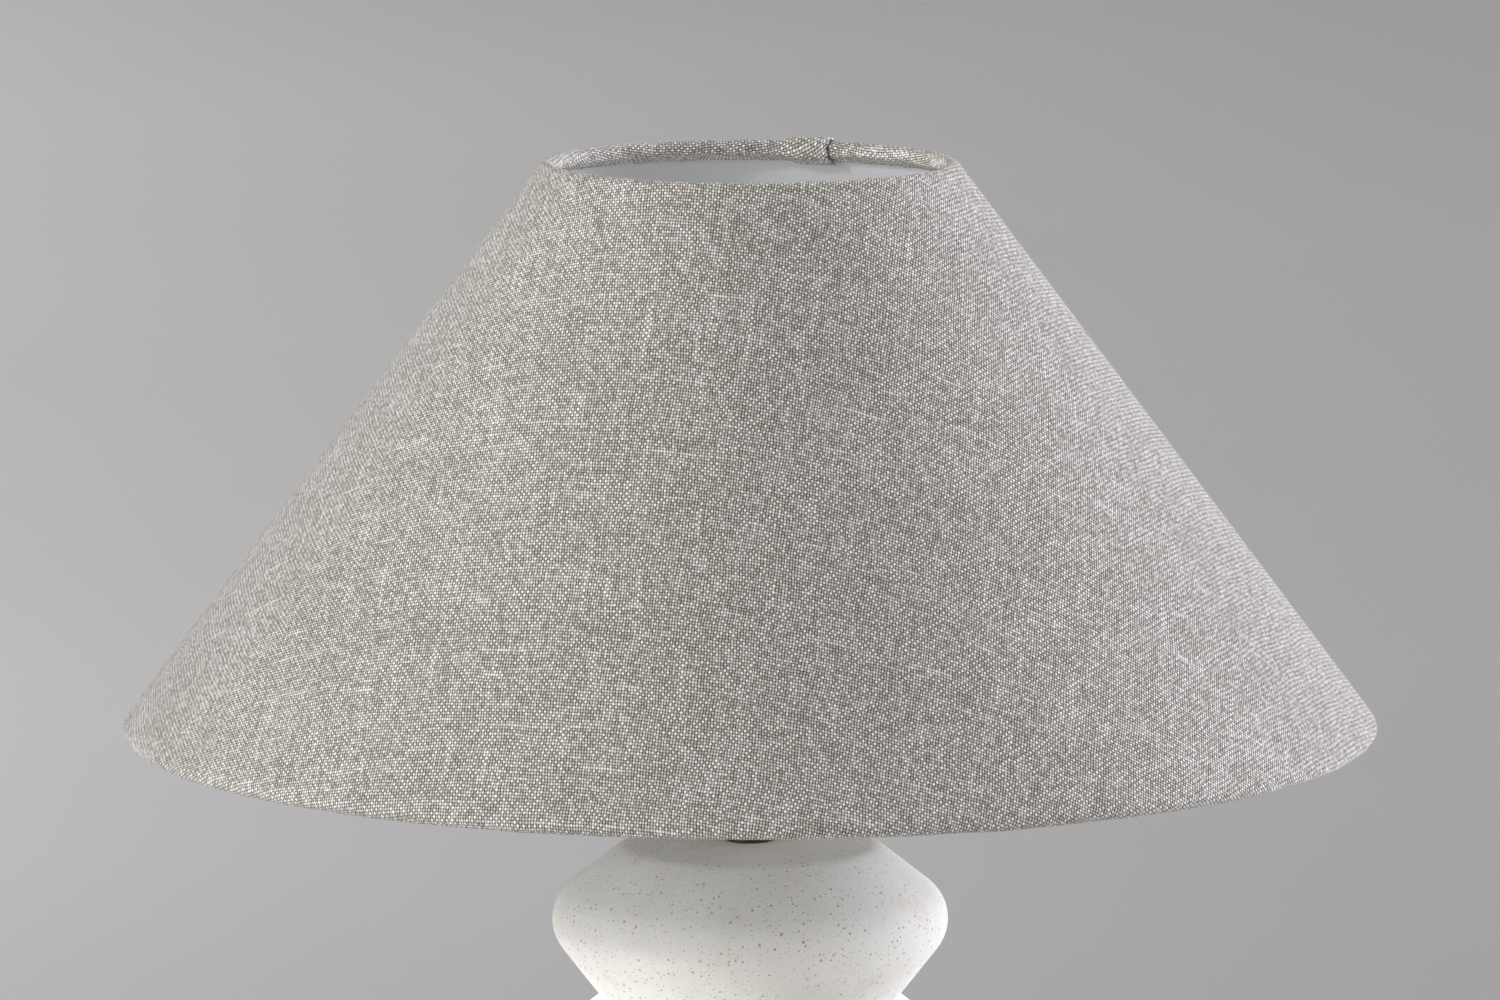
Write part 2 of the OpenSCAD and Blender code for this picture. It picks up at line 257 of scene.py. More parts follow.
class Net:
    """Adds nodes to one tree."""

    def __init__(self, tree):
        self.tree = tree

    def add(self, kind, settings=None, sockets=None):
        node = self.tree.nodes.new(kind)
        for name, value in (settings or {}).items():
            setattr(node, name, value)
        for key, value in (sockets or {}).items():
            if isinstance(value, Value):
                self.tree.links.new(value.socket, node.inputs[key])
            else:
                node.inputs[key].default_value = value
        return Outputs(self, node)

    def math(self, operation, *terms):
        return self.add("ShaderNodeMath", {"operation": operation}, dict(enumerate(terms)))[0]

    def vector(self, x, y=0.0, z=0.0):
        return self.add("ShaderNodeCombineXYZ", None, {"X": x, "Y": y, "Z": z})[0]

    def split(self, vector):
        parts = self.add("ShaderNodeSeparateXYZ", None, {"Vector": vector})
        return parts["X"], parts["Y"], parts["Z"]

    def noise(self, vector, scale, detail=2.0, rough=0.5, kind="3D"):
        return self.add(
            "ShaderNodeTexNoise", {"noise_dimensions": kind},
            {"Vector": vector, "Scale": scale, "Detail": detail, "Roughness": rough})[0]

    def blend(self, share, first, second):
        """Mix two colours."""
        return self.add(
            "ShaderNodeMix", {"data_type": "RGBA"}, {0: share, 6: first, 7: second})[2]


class Finish(Net):
    """One material, built as a tree round a Principled shader."""

    def __init__(self, name):
        self.material = bpy.data.materials.new(name)
        self.material.use_nodes = True
        self.material.node_tree.nodes.clear()
        super().__init__(self.material.node_tree)

    def place(self):
        return self.add("ShaderNodeTexCoord")["Object"]

    def surface(self, base, roughness, height=None, depth=0.0, **sockets):
        ports = {"Base Color": base, "Roughness": roughness}
        ports.update({name.replace("_", " "): value for name, value in sockets.items()})
        if height is not None:
            ports["Normal"] = self.add(
                "ShaderNodeBump", None, {"Distance": depth, "Height": height})["Normal"]
        shader = self.add("ShaderNodeBsdfPrincipled", None, ports)
        self.add("ShaderNodeOutputMaterial", None, {"Surface": shader["BSDF"]})
        return self.material


def rgba(colour, gain=1.0):
    return (colour[0] * gain, colour[1] * gain, colour[2] * gain, 1.0)


# ------------------------------------------------------------------ finishes


def linen_finish(shade, colours):
    """Plain-woven linen, drawn yarn by yarn on the flat cloth, with painted shade between the
    yarns.
    """
    f = Finish("woven_linen")
    cut = f.add("ShaderNodeUVMap", {"uv_map": CUT_MAP})["UV"]
    x, y, _ = f.split(cut)
    wander_x = (f.noise(cut, 0.045, 2, kind="2D") - 0.5) * 2.2
    wander_y = (f.noise(f.vector(x, y, 9.0), 0.045, 2) - 0.5) * 2.2
    lean = shade.skew
    warp = (x * math.cos(lean) + y * math.sin(lean) + wander_x) / (shade.warp_pitch / MM)
    weft = (y + wander_y) / (shade.weft_pitch / MM)
    warp_no = warp.floor()
    weft_no = weft.floor()
    chance = f.add("ShaderNodeTexWhiteNoise", {"noise_dimensions": "2D"},
                   {"Vector": f.vector(warp_no, weft_no)})["Value"] - 0.5

    def yarn(number, along, other, layer, shade_of):
        """Offset, half width and tone of one set of yarns."""
        sway = f.noise(f.vector(number * 3.71, along * 0.45, layer + 0.5), 1.0, 1) - 0.5
        thick = f.noise(f.vector(number * 7.13, along * 0.03, layer), 1.0, 3, 0.55)
        uneven = f.noise(f.vector(number * 5.37, along * 0.35, layer + 0.2), 1.0, 1) - 0.5
        slub = thick.ease(0.60, 0.70)
        half = (thick - 0.5) * 0.14 + uneven * 0.10 + chance * 0.06 + slub * 0.09 + 0.41
        tone = (thick - 0.5) * 0.35 + uneven * 0.12 + slub * 0.30 + shade_of
        return other + sway * 0.22, half.at_least(0.25).at_most(0.56), tone

    off_warp, half_warp, tone_warp = yarn(
        warp_no, y, warp - warp_no - 0.5, 2.0, 0.59)
    off_weft, half_weft, tone_weft = yarn(
        weft_no, x, weft - weft_no - 0.5, 5.0, 0.31)
    across_warp = off_warp / half_warp
    across_weft = off_weft / half_weft
    round_warp = (1.0 - across_warp * across_warp).at_least(0.0).root()
    round_weft = (1.0 - across_weft * across_weft).at_least(0.0).root()
    over = 1.0 - ((warp_no + weft_no) * 0.5).cycle() * 4.0
    warp_z = round_warp * 0.55 + over * (off_weft * math.pi).cosine() * 0.45
    weft_z = round_weft * 0.55 - over * (off_warp * math.pi).cosine() * 0.45
    warp_z = warp_z + (round_warp > 0.02) - 1.0
    weft_z = weft_z + (round_weft > 0.02) - 1.12
    top = warp_z.at_least(weft_z).at_least(-0.6)
    shows_warp = warp_z > weft_z

    fibre = f.noise(cut, 2.6, 2, kind="2D") - 0.5
    cloud = f.noise(cut, 0.012, 2, kind="2D") - 0.5
    tone = tone_weft + (tone_warp - tone_weft) * shows_warp
    tone = tone + chance * 0.52 + fibre * 0.26 + cloud * 0.1
    thread = f.blend(tone.ease(0.05, 0.95), rgba(colours.yarn_dark), rgba(colours.yarn_light))
    fleck = f.noise(f.vector(x, y, 3.0), 0.16, 1).ease(0.80, 0.86)
    thread = f.blend(fleck * 0.7, thread, (0.34, 0.18, 0.08, 1.0))
    # painted shade: the gaps between yarns and the sides of each yarn darken by height toward the
    # gap colour
    woven = f.blend(top.ease(0.1, 1.0), rgba(colours.yarn_gap_shade), thread)
    return f.surface(
        woven, 0.9, top, 0.2 * MM, Sheen_Weight=0.1, Sheen_Roughness=0.5,
        Specular_IOR_Level=0.25)


def liner_finish(colours):
    """Matt white plastic film with a faint roll grain."""
    f = Finish("liner_film")
    place = f.place()
    grain = f.noise(place, 900.0, 3)
    cloud = f.noise(place, 14.0, 2)
    base = f.blend(cloud.ease(0.3, 0.7), rgba(colours.liner, 0.94), rgba(colours.liner))
    return f.surface(base, grain * 0.15 + 0.55, grain, 0.03 * MM)


def ceramic_finish(colours):
    """Matt off-white glaze over a body with iron specks, and painted warm shade in blotches."""
    f = Finish("speckled_glaze")
    place = f.place()
    warp = f.noise(place, 700.0, 2)
    near = f.add("ShaderNodeVectorMath", {"operation": "ADD"},
                 {0: place, 1: f.vector(warp * 0.0006, warp * 0.0005, warp * -0.0006)})[0]

    def specks(size, share, fill):
        cells = f.add("ShaderNodeTexVoronoi", {"feature": "F1"},
                      {"Vector": near, "Scale": 1.0 / (size * MM)})
        chance, spread, _ = f.split(cells["Color"])
        reach = (spread * 0.75 + 0.25) * fill
        inside = 1.0 - (cells["Distance"] / reach).ease(0.75, 1.1)
        return inside * (chance > 1.0 - share)

    coarse = specks(2.0, 0.66, 0.30)
    fine = specks(1.1, 0.56, 0.34)
    patch = f.noise(place, 26.0, 2).ease(0.25, 0.7)
    mottle = f.noise(place, 45.0, 3)
    chalk = f.noise(place, 1600.0, 2)
    ground = f.blend(mottle.ease(0.3, 0.7), rgba(colours.glaze, 0.955), rgba(colours.glaze, 1.02))
    tinted = f.blend(fine * (patch * 0.38 + 0.34), ground, rgba(colours.speck, 1.2))
    tinted = f.blend(coarse * (patch * 0.42 + 0.5), tinted, rgba(colours.speck))
    # painted warm shade: brown-tinted blotches laid at random over the glaze
    warm_shade_blotch = f.noise(place, 70.0, 4, 0.6).ease(0.58, 0.78)
    base = f.blend(warm_shade_blotch * 0.28, tinted, (0.60, 0.44, 0.30, 1.0))
    relief = chalk * 0.25 + mottle * 1.2 - coarse * 0.35 - fine * 0.15
    return f.surface(base, 0.78 + (mottle - 0.5) * 0.2, relief, 0.12 * MM,
                     Specular_IOR_Level=0.18)


def metal_finish(name, colour, roughness, wear=0.25, scale=60.0):
    """Metal with fine turning lines, soft tarnish and small scratches."""
    f = Finish(name)
    place = f.place()
    x, y, z = f.split(place)
    tarnish = f.noise(place, scale, 4, 0.6)
    lines = f.noise(f.vector(x * 30.0, y * 30.0, z * 2600.0), 1.0, 2)
    scratch = f.noise(f.vector(x * 900.0, y * 900.0, z * 90.0), 1.0, 3).ease(0.62, 0.75)
    base = f.blend(tarnish.ease(0.35, 0.7), rgba(colour), rgba(colour, 1.0 - wear))
    base = f.blend(scratch * 0.25, base, rgba(colour, 1.25))
    rough = roughness + (tarnish - 0.5) * 0.25 + scratch * -0.06
    return f.surface(base, rough, lines + scratch * -0.5, 0.01 * MM, Metallic=1.0)


def plain_finish(name, colour, roughness, grain=900.0, depth=0.02, **sockets):
    """Moulded or painted surface with a fine grain and slight colour drift."""
    f = Finish(name)
    place = f.place()
    skin = f.noise(place, grain, 3)
    drift = f.noise(place, 35.0, 2)
    base = f.blend(drift.ease(0.3, 0.7), rgba(colour, 0.93), rgba(colour))
    return f.surface(base, roughness + (skin - 0.5) * 0.12, skin, depth * MM, **sockets)


def felt_finish():
    """Pressed grey felt with loose fibres."""
    f = Finish("pressed_felt")
    place = f.place()
    fibre = f.noise(place, 1500.0, 4, 0.7)
    clump = f.noise(place, 180.0, 3)
    base = f.blend((fibre + clump - 0.5).ease(0.3, 0.75),
                   (0.035, 0.035, 0.034, 1), (0.12, 0.118, 0.112, 1))
    return f.surface(base, 0.95, fibre + clump, 0.4 * MM, Sheen_Weight=0.3)


# ------------------------------------------------------------- mesh helpers


def rounded(corners, steps=7):
    """A closed outline from (radius, height, rounding) corners, corners rounded."""
    outline = []
    count = len(corners)
    for k in range(count):
        here = np.array(corners[k][:2])
        back = np.array(corners[k - 1][:2]) - here
        ahead = np.array(corners[(k + 1) % count][:2]) - here
        reach = corners[k][2]
        if reach <= 0:
            outline.append(here)
            continue
        back_len, ahead_len = np.linalg.norm(back), np.linalg.norm(ahead)
        back, ahead = back / back_len, ahead / ahead_len
        half = math.acos(np.clip(back @ ahead, -1, 1)) / 2
        trim = min(reach / math.tan(half), 0.49 * back_len, 0.49 * ahead_len)
        reach = trim * math.tan(half)
        middle = (back + ahead) / np.linalg.norm(back + ahead)
        centre = here + middle * reach / math.sin(half)
        first = here + back * trim - centre
        last = here + ahead * trim - centre
        turn = math.acos(np.clip(first @ last / reach ** 2, -1, 1))
        parts = max(2, round(steps * max(1.0, turn)))
        for i in range(parts + 1):
            share = i / parts
            arm = (math.sin((1 - share) * turn) * first + math.sin(share * turn) * last)
            outline.append(centre + arm / math.sin(turn))
    return outline


def spaced(outline, longest):
    """The same closed outline with long edges divided."""
    result = []
    for here, ahead in zip(outline, outline[1:] + outline[:1]):
        parts = max(1, math.ceil(np.linalg.norm(ahead - here) / longest))
        result += [here + (ahead - here) * i / parts for i in range(parts)]
    return result


def new_piece(name, mesh):
    piece = bpy.data.objects.new(name, mesh)
    bpy.context.scene.collection.objects.link(piece)
    return piece


def face_outwards(mesh):
    """Turn every face round if the closed mesh is inside out."""
    work = bmesh.new()
    work.from_mesh(mesh)
    if work.calc_volume(signed=True) < 0:
        bmesh.ops.reverse_faces(work, faces=work.faces)
    work.to_mesh(mesh)
    work.free()


def grown(name, mesh, tree, inputs):
    """Run a node tree on a mesh and keep the result as a plain piece."""
    seed = new_piece(name + "_seed", mesh)
    build = seed.modifiers.new("build", "NODES")
    build.node_group = tree
    for item in tree.interface.items_tree:
        if item.in_out == "INPUT" and item.name in inputs:
            build[item.identifier] = inputs[item.name]
    depsgraph = bpy.context.evaluated_depsgraph_get()
    result = bpy.data.meshes.new_from_object(
        seed.evaluated_get(depsgraph), depsgraph=depsgraph)
    bpy.data.objects.remove(seed)
    result.name = name
    face_outwards(result)
    return new_piece(name, result)


def tree_with(name, inputs):
    """A geometry tree with named inputs, and its group nodes."""
    tree = bpy.data.node_groups.new(name, "GeometryNodeTree")
    tree.interface.new_socket("Geometry", in_out="OUTPUT", socket_type="NodeSocketGeometry")
    tree.interface.new_socket("Geometry", in_out="INPUT", socket_type="NodeSocketGeometry")
    for label, kind, default in inputs:
        socket = tree.interface.new_socket(
            label, in_out="INPUT", socket_type="NodeSocket" + kind)
        if default is not None:
            socket.default_value = default
    net = Net(tree)
    return net, net.add("NodeGroupInput")


def close_tree(net, geometry, given):
    """Realize, set the material and hand the geometry out."""
    real = net.add("GeometryNodeRealizeInstances", None, {"Geometry": geometry})[0]
    made = net.add("GeometryNodeSetMaterial", None,
                   {"Geometry": real, "Material": given["Material"]})[0]
    net.add("NodeGroupOutput", None, {0: made})
    return net.tree


def turning_tree():
    """Sweeps an outline in the XZ plane round the Z axis, slightly out of true."""
    net, given = tree_with("Turned Form", [
        ("Steps Around", "Int", 192), ("Unevenness", "Float", 0.0),
        ("Lump Size", "Float", 0.05), ("Seed", "Float", 0.0),
        ("Material", "Material", None)])
    count = net.add("GeometryNodeAttributeDomainSize", None,
                    {"Geometry": given["Geometry"]})["Point Count"]
    steps = given["Steps Around"]
    grid = net.add("GeometryNodeMeshGrid", None,
                   {"Size X": 1.0, "Size Y": 1.0, "Vertices X": count,
                    "Vertices Y": steps + 1.0})[0]
    index = net.add("GeometryNodeInputIndex")[0]
    ring = (index / (steps + 1.0)).floor()
    turn = (index - ring * (steps + 1.0)) / steps * math.tau
    point = net.add("GeometryNodeInputPosition")[0]
    outline = net.add("GeometryNodeSampleIndex", {"data_type": "FLOAT_VECTOR"},
                      {"Geometry": given["Geometry"], "Value": point, "Index": ring})[0]
    radius, _, height = net.split(outline)
    round_place = net.vector(turn.cosine() * radius, turn.sine() * radius, height)
    lump = net.add("ShaderNodeTexNoise", {"noise_dimensions": "4D"},
                   {"Vector": round_place, "W": given["Seed"],
                    "Scale": 1.0 / given["Lump Size"], "Detail": 2.0})[0]
    swell = radius + (lump - 0.5) * given["Unevenness"]
    place = net.vector(turn.cosine() * swell, turn.sine() * swell, height)
    set_place = net.add("GeometryNodeSetPosition", None,
                        {"Geometry": grid, "Position": place})[0]
    merged = net.add("GeometryNodeMergeByDistance", None,
                     {"Geometry": set_place, "Distance": 0.000002})[0]
    smooth = net.add("GeometryNodeSetShadeSmooth", None, {0: merged})[0]
    return close_tree(net, smooth, given)


def rib_tree():
    """Stands short ribs round the rim of a ring."""
    net, given = tree_with("Rim Ribs", [
        ("Count", "Int", 24), ("Rim Radius", "Float", 0.027),
        ("Rib Radius", "Float", 0.001), ("Rib Height", "Float", 0.003),
        ("Middle Height", "Float", 0.0), ("Material", "Material", None)])
    rim = net.add("GeometryNodeMeshCircle", None,
                  {"Vertices": given["Count"], "Radius": given["Rim Radius"]})[0]
    rib = net.add("GeometryNodeMeshCylinder", None,
                  {"Vertices": 10, "Radius": given["Rib Radius"],
                   "Depth": given["Rib Height"]})[0]
    ribs = net.add("GeometryNodeInstanceOnPoints", None, {"Points": rim, "Instance": rib})[0]
    raised = net.add("GeometryNodeTransform", None,
                     {"Geometry": ribs,
                      "Translation": net.vector(0.0, 0.0, given["Middle Height"])})[0]
    both = net.add("GeometryNodeJoinGeometry")
    net.tree.links.new(raised.socket, both.node.inputs[0])
    net.tree.links.new(given["Geometry"].socket, both.node.inputs[0])
    return close_tree(net, both[0], given)


def thread_tree():
    """A round-bottomed screw thread wound up the Z axis."""
    net, given = tree_with("Screw Thread", [
        ("Radius", "Float", 0.013), ("Start Height", "Float", 0.0),
        ("Height", "Float", 0.015), ("Turns", "Float", 4.0),
        ("Crest", "Float", 0.001), ("Material", "Material", None)])
    path = net.add("GeometryNodeCurveSpiral", None,
                   {"Resolution": 48, "Rotations": given["Turns"],
                    "Start Radius": given["Radius"], "End Radius": given["Radius"],
                    "Height": given["Height"]})[0]
    crest = net.add("GeometryNodeCurvePrimitiveCircle", None,
                    {"Resolution": 10, "Radius": given["Crest"]})[0]
    wound = net.add("GeometryNodeCurveToMesh", None,
                    {"Curve": path, "Profile Curve": crest, "Fill Caps": True})[0]
    raised = net.add("GeometryNodeTransform", None,
                     {"Geometry": wound,
                      "Translation": net.vector(0.0, 0.0, given["Start Height"])})[0]
    smooth = net.add("GeometryNodeSetShadeSmooth", None, {0: raised})[0]
    both = net.add("GeometryNodeJoinGeometry")
    net.tree.links.new(smooth.socket, both.node.inputs[0])
    net.tree.links.new(given["Geometry"].socket, both.node.inputs[0])
    return close_tree(net, both[0], given)


def turned(name, corners, material, longest=0.004, steps=192, **uneven):
    """A turned piece from (radius, height, rounding) corners, outside walked upward."""
    outline = spaced(rounded(corners), longest)[::-1]
    outline.append(outline[0])
    mesh = bpy.data.meshes.new(name + "_outline")
    mesh.from_pydata([(p[0], 0.0, p[1]) for p in outline], [], [])
    inputs = {"Steps Around": steps, "Material": material}
    inputs.update({key.replace("_", " "): value for key, value in uneven.items()})
    return grown(name, mesh, tree_named("Turned Form", turning_tree), inputs)


def tree_named(name, maker):
    return bpy.data.node_groups.get(name) or maker()


def finish_nodes(material, *nodes):
    """Give carried-over nodes a finish."""
    for node in nodes:
        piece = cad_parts[node]
        if not piece.material_slots:
            piece.data.materials.append(material)
        for slot in piece.material_slots:
            slot.material = material


def shared(name, maker, *given, **more):
    return bpy.data.materials.get(name) or maker(*given, **more)


# -------------------------------------------------------------- shade pieces


def linen_section(shade):
    """The linen's outer face in section: points, normals and run, inside hem to inside hem."""
    wire = LOW_RING[2]
    tucked = wire + shade.liner
    shift = shade.linen / 2
    wrap = math.radians(30)
    tuck = wire / math.tan(wrap / 2) * 0.94
    along = np.array([math.sin(wrap), math.cos(wrap)])
    away = np.array([-math.cos(wrap), math.sin(wrap)])
    band = [tucked * away + along * tuck * k / 3 for k in (3, 2, 1)]
    inner = [tucked * np.array([math.cos(a), math.sin(a)])
             for a in np.radians([150, 160, 170])]
    roll = [np.array([shift, 0]) + (tucked + shift) * np.array([math.cos(a), math.sin(a)])
            for a in np.radians(np.arange(180, 361, 15))]
    low = np.array(band + inner + roll)
    face = [np.array([tucked + shade.linen, SLANT * k / LINEN_ROWS])
            for k in range(1, LINEN_ROWS)]
    high = low[::-1] * [1, -1] + [0, SLANT]
    local = np.vstack([low, face, high])
    ahead = np.gradient(local, axis=0)
    ahead /= np.linalg.norm(ahead, axis=1)[:, None]
    normal = np.stack([ahead[:, 1], -ahead[:, 0]], 1)
    run = np.concatenate([[0], np.cumsum(np.linalg.norm(np.diff(local, axis=0), axis=1))])
    run -= run[len(low) - 1]
    c, s = math.cos(SLANT_ANGLE), math.sin(SLANT_ANGLE)
    turn = np.array([[c, s], [-s, c]])
    at = local @ turn + [LOW_RING[0], LOW_RING[1]]
    return at, normal @ turn, run


def ripple_at(angle, seed, low, high):
    """Smooth wandering round the shade that closes on itself, from -1 to 1."""
    dice = random.Random(seed)
    total = np.zeros_like(angle)
    for wave in range(low, high):
        total += math.sin(dice.uniform(0, math.tau)) * np.sin(
            wave * angle + dice.uniform(0, math.tau))
    return total / math.sqrt((high - low) / 2)


def linen_mesh(shade):
    """The linen as a thin closed sheet wrapped round both wires and lapped at the seam."""
    at, normal, run = linen_section(shade)
    rows, cols = len(at), LINEN_COLUMNS
    stand_off = shade.liner + LOW_RING[2] + shade.linen
    apex = LOW_RING[0] / math.sin(SLANT_ANGLE) + stand_off \
        * math.cos(SLANT_ANGLE) / math.sin(SLANT_ANGLE)
    reach = apex - run
    share = np.linspace(0, 1, cols)[None, :]
    radius = at[:, 0][:, None]
    start = shade.seam - math.tau
    lap = shade.overlap / radius
    angle = start + share * (math.tau + lap)
    walked = (angle - start) * radius
    drop = np.clip((walked - shade.overlap) / SEAM_FADE, 0, 1)
    hem = np.exp(-((run / HEM_REACH) ** 2)) + np.exp(-(((run - SLANT) / HEM_REACH) ** 2))
    outside = ((run < 0) | (run > SLANT)).astype(float)
    weight = np.maximum(hem, outside)[:, None]
    lift = shade.linen + LAP_GAP + weight * HEM_BULK
    lift = lift * (1 - drop * drop * (3 - 2 * drop))
    wave = ripple_at(angle, 11, 9, 60) * 0.5 + ripple_at(angle, 12, 60, 160) * 0.25
    soft = ripple_at(angle, 13, 3, 14) * 0.25
    lift = lift + shade.ripple * (wave * weight + soft * (1 - weight))
    sag = shade.ripple * 0.8 * ripple_at(angle, 14, 7, 44) * weight

    def spin(offset):
        r = radius + normal[:, 0][:, None] * offset
        z = at[:, 1][:, None] + normal[:, 1][:, None] * offset + sag
        return np.stack([r * np.sin(angle), -r * np.cos(angle), z + r * 0], -1).reshape(-1, 3)

    points = np.vstack([spin(lift), spin(lift - shade.linen)])
    grid = np.arange(rows * cols).reshape(rows, cols)
    a, b = grid[:-1, :-1].ravel(), grid[:-1, 1:].ravel()
    c, d = grid[1:, 1:].ravel(), grid[1:, :-1].ravel()
    back = rows * cols
    faces = [np.stack([a, b, c, d], 1), np.stack([d, c, b, a], 1) + back]
    for edge in (grid[0, :], grid[:, -1], grid[-1, ::-1], grid[::-1, 0]):
        near, far = edge[:-1], edge[1:]
        faces.append(np.stack([near, near + back, far + back, far], 1))
    mesh = bpy.data.meshes.new("linen_cover")
    mesh.from_pydata(points.tolist(), [], np.vstack(faces).tolist())
    spread = math.sin(SLANT_ANGLE) * (angle - shade.grain)
    cut = np.stack([reach[:, None] * np.sin(spread), -reach[:, None] * np.cos(spread)], -1)
    cut = np.vstack([cut.reshape(-1, 2)] * 2) / MM
    owner = np.empty(len(mesh.loops), dtype=np.int32)
    mesh.loops.foreach_get("vertex_index", owner)
    layer = mesh.uv_layers.new(name=CUT_MAP)
    layer.uv.foreach_set("vector", cut[owner].astype(np.float32).ravel())
    mesh.polygons.foreach_set("use_smooth", [True] * len(mesh.polygons))
    return mesh, reach


class LAMP_OT_linen(bpy.types.Operator):
    """Wrap the linen round both wire rings and lap it at the back"""

    bl_idname = "lamp.linen"
    bl_label = "Linen Cover"

    def execute(self, context):
        shade, colours = context.scene.lamp_shade, context.scene.lamp_colours
        mesh, reach = linen_mesh(shade)
        mesh.materials.append(shared("woven_linen", linen_finish, shade, colours))
        face_outwards(mesh)
        cover = new_piece("linen_cover", mesh)
        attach(cover, "shade")
        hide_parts("shade_cover", "bottom_hem", "top_hem")
        return {"FINISHED"}


class LAMP_OT_shade_frame(bpy.types.Operator):
    """Make the liner and finish the wire rings, arms and fitter ring"""

    bl_idname = "lamp.shade_frame"
    bl_label = "Liner and Frame"

    def execute(self, context):
        shade = context.scene.lamp_shade
        film = shared("liner_film", liner_finish, context.scene.lamp_colours)
        c, s = math.cos(SLANT_ANGLE), math.sin(SLANT_ANGLE)
        inside = np.array([c, s]) * LOW_RING[2]
        outside = inside + np.array([c, s]) * (shade.liner - 0.02 * MM)
        low, high = np.array(LOW_RING[:2]), np.array(HIGH_RING[:2])
        corners = [(*(low + inside), 0), (*(low + outside), 0),
                   (*(high + outside), 0), (*(high + inside), 0)]
        liner = turned("liner_shell", corners, film, longest=0.01, steps=256)
        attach(liner, "shade")
        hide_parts("shade_liner")
        paint = shared("white_paint", plain_finish, "white_paint", (0.82, 0.82, 0.80), 0.42,
                       grain=500.0, Coat_Weight=0.15)
        finish_nodes(paint, "bottom_wire_ring", "top_wire_ring", "spider_arms", "fitter_ring")
        return {"FINISHED"}


# --------------------------------------------------------------- base pieces


def tier_apex(base, low, high, z0, z1):
    """Where a tier's two slopes would meet."""
    up, down = math.tan(base.shoulder), math.tan(base.belly)
    radius = (z1 - z0 + high / up + low / down) / (1 / up + 1 / down)
    return radius, z0 + (radius - low) / down


class LAMP_OT_ceramic(bpy.types.Operator):
    """Turn the four-tier ceramic base, drill its cord hole and lay its felt"""

    bl_idname = "lamp.ceramic"
    bl_label = "Ceramic Base"

    def execute(self, context):
        base = context.scene.lamp_base
        colours = context.scene.lamp_colours
        felt_low, felt_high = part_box("felt_pad")
        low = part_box("ceramic_body")[0]
        plate_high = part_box("base_plate")[1]
        recess = plate_high.x + 0.3 * MM
        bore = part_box("threaded_tube")[1].x + 0.5 * MM
        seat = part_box("neck_collar")[0].z
        corners = [(bore, seat, 0.3 * MM), (bore, plate_high.z, 0),
                   (recess, plate_high.z, 0), (recess, low.z, 0.8 * MM),
                   (FOOT_RADIUS, low.z, 1.5 * MM), (FOOT_RADIUS, low.z + base.foot, 1.5 * MM)]
        z, radius = low.z + base.foot, FOOT_RADIUS
        for tier, groove, soft in zip(base.tiers, base.grooves, base.rounding):
            corners.append((*tier_apex(base, radius, groove, z, z + tier), soft))
            z, radius = z + tier, groove
            corners.append((radius, z, 0.9 * MM))
        corners[-1] = (radius, z, 9 * MM)
        corners.append((0.013, seat, 2 * MM))
        glaze = shared("speckled_glaze", ceramic_finish, colours)
        body = turned("ceramic_base", corners, glaze, longest=0.004, steps=224,
                      Unevenness=base.unevenness, Lump_Size=0.05, Seed=3.0)
        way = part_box("cord_grommet")
        drill = bpy.data.meshes.new("drill")
        work = bmesh.new()
        bmesh.ops.create_cone(work, cap_ends=True, segments=32, radius1=CORD_HOLE,
                              radius2=CORD_HOLE, depth=0.03)
        bmesh.ops.rotate(work, verts=work.verts, matrix=Matrix.Rotation(math.pi / 2, 3, "X"))
        middle = (way[0] + way[1]) / 2
        bmesh.ops.translate(work, verts=work.verts, vec=(0, middle.y, middle.z))
        work.to_mesh(drill)
        work.free()
        cutter = new_piece("drill", drill)
        bore_out = body.modifiers.new("cord_hole", "BOOLEAN")
        bore_out.object = cutter
        depsgraph = bpy.context.evaluated_depsgraph_get()
        body.data = bpy.data.meshes.new_from_object(
            body.evaluated_get(depsgraph), depsgraph=depsgraph)
        body.modifiers.clear()
        bpy.data.objects.remove(cutter)
        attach(body, "base")
        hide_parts("ceramic_body")

        felt = shared("pressed_felt", felt_finish)
        edge = 0.5 * MM
        pad = turned("felt_disc", [
            (0.2 * MM, felt_low.z, 0), (felt_high.x, felt_low.z, edge),
            (felt_high.x, felt_high.z, edge), (0.2 * MM, felt_high.z, 0)],
            felt, longest=0.006, Unevenness=0.0006, Lump_Size=0.01, Seed=8.0)
        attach(pad, "base")
        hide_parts("felt_pad")
        rubber = shared("black_rubber", plain_finish, "black_rubber", (0.03, 0.03, 0.03), 0.6)
        finish_nodes(rubber, "cord_grommet")
        steel = shared("plated_steel", metal_finish, "plated_steel", (0.55, 0.55, 0.54), 0.38)
        finish_nodes(steel, "base_plate", "bottom_washer", "bottom_nut", "threaded_tube",
                     "grub_screw")
        return {"FINISHED"}


